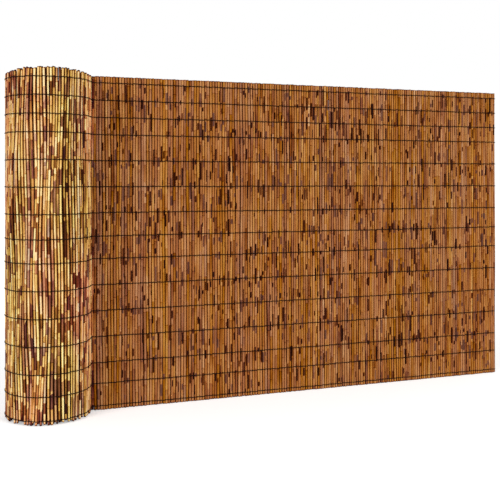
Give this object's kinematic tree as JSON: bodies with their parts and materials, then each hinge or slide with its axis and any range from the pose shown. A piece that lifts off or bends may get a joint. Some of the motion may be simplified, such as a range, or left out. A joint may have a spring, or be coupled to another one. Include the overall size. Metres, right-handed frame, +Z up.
{
  "type": "reed screen",
  "caption": "Natural reed screen of upright reeds bound by rows of wire, part rolled and part drawn out flat, standing on its lower edge.",
  "frame": {"origin": "middle of the plan of the whole screen, on the surface that it stands on", "axes": "+X along the flat stretch, from the roll to the free edge; +Z up along the reeds; the front face looks along -Y"},
  "size_m": [1.684, 0.244, 1],
  "materials": {
    "reed_panel": "dry natural reed",
    "reed_roll": "dry natural reed",
    "wire": "dull brown coated wire"
  },
  "bodies": {
    "root": {"panel_reeds": "reed_panel", "roll_reeds": "reed_roll", "front_wire_01": "wire", "front_wire_02": "wire", "front_wire_03": "wire", "front_wire_04": "wire", "front_wire_05": "wire", "front_wire_06": "wire", "front_wire_07": "wire", "front_wire_08": "wire", "front_wire_09": "wire", "front_wire_10": "wire", "front_wire_11": "wire", "front_wire_12": "wire", "front_wire_13": "wire", "front_wire_14": "wire", "front_wire_15": "wire", "back_wire_01": "wire", "back_wire_02": "wire", "back_wire_03": "wire", "back_wire_04": "wire", "back_wire_05": "wire", "back_wire_06": "wire", "back_wire_07": "wire", "back_wire_08": "wire", "back_wire_09": "wire", "back_wire_10": "wire", "back_wire_11": "wire", "back_wire_12": "wire", "back_wire_13": "wire", "back_wire_14": "wire", "back_wire_15": "wire"}
  },
  "joints": []
}
